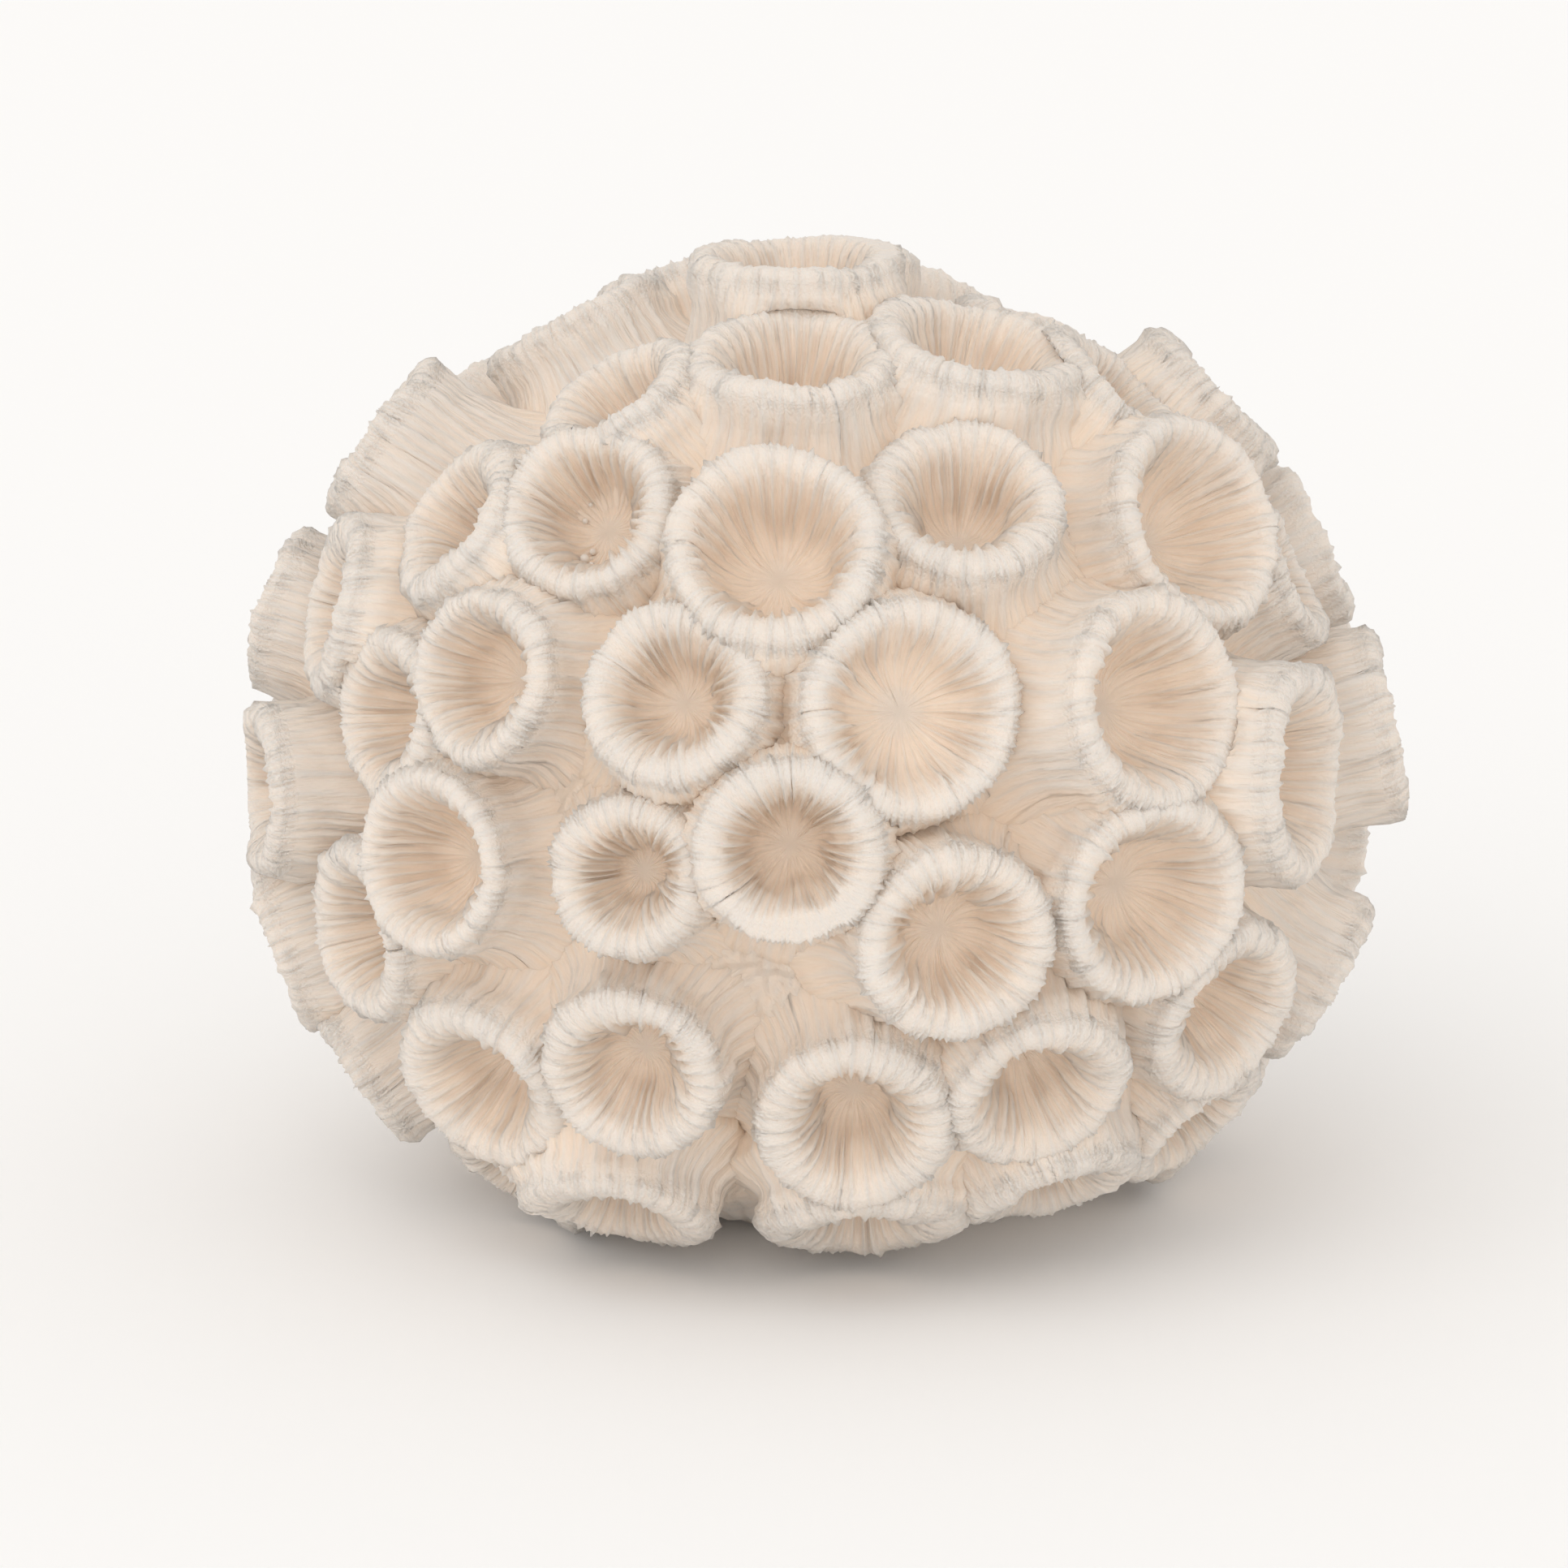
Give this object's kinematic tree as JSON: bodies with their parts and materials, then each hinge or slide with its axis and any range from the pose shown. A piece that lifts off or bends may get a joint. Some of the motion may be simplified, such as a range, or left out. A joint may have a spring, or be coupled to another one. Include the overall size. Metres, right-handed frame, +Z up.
{
  "type": "coral specimen",
  "caption": "Rounded head of tube coral with thick-walled cups facing every way, cut flat underneath, cast in cream resin as an ornament",
  "frame": {"origin": "in the flat cut face, under the middle of the head", "axes": "+Z up, the pictured front faces -Y, +X to the right of the picture"},
  "size_m": [0.1767, 0.169, 0.148],
  "materials": {
    "tube_coral": "waxy cream cast resin, paler at the rims and warmer in the cups",
    "body_coral": "waxy warm tan cast resin in the valleys and underneath"
  },
  "bodies": {
    "root": {"body": "body_coral", "crown_top": "tube_coral", "crown_front": "tube_coral", "crown_front_right": "tube_coral", "crown_left": "tube_coral", "crown_right": "tube_coral", "crown_far_left": "tube_coral", "crown_back_left": "tube_coral", "crown_back_right": "tube_coral", "brow_middle": "tube_coral", "brow_right": "tube_coral", "brow_left": "tube_coral", "brow_far_left": "tube_coral", "brow_far_right": "tube_coral", "face_upper_left": "tube_coral", "face_upper_right": "tube_coral", "face_middle": "tube_coral", "face_lower_left": "tube_coral", "face_lower_right": "tube_coral", "left_top": "tube_coral", "left_upper": "tube_coral", "left_upper_edge": "tube_coral", "left_inner_upper": "tube_coral", "left_inner": "tube_coral", "left_middle": "tube_coral", "left_inner_middle": "tube_coral", "left_lower": "tube_coral", "left_lower_edge": "tube_coral", "left_foot": "tube_coral", "right_top": "tube_coral", "right_upper_edge": "tube_coral", "right_inner_upper": "tube_coral", "right_inner_edge": "tube_coral", "right_middle": "tube_coral", "right_inner_middle": "tube_coral", "right_inner_lower": "tube_coral", "right_lower_edge": "tube_coral", "chin_left": "tube_coral", "chin_middle_left": "tube_coral", "chin_middle": "tube_coral", "chin_right": "tube_coral", "ground_left": "tube_coral", "ground_middle": "tube_coral", "ground_right": "tube_coral", "ground_far_right": "tube_coral", "ground_far_left": "tube_coral", "back_crown": "tube_coral", "back_upper_left": "tube_coral", "back_upper_middle": "tube_coral", "back_upper_right": "tube_coral", "back_left": "tube_coral", "back_middle": "tube_coral", "back_right": "tube_coral", "back_lower_left": "tube_coral", "back_lower_middle": "tube_coral", "back_lower_right": "tube_coral", "right_lower_back": "tube_coral", "under_left": "tube_coral", "under_back": "tube_coral"}
  },
  "joints": []
}
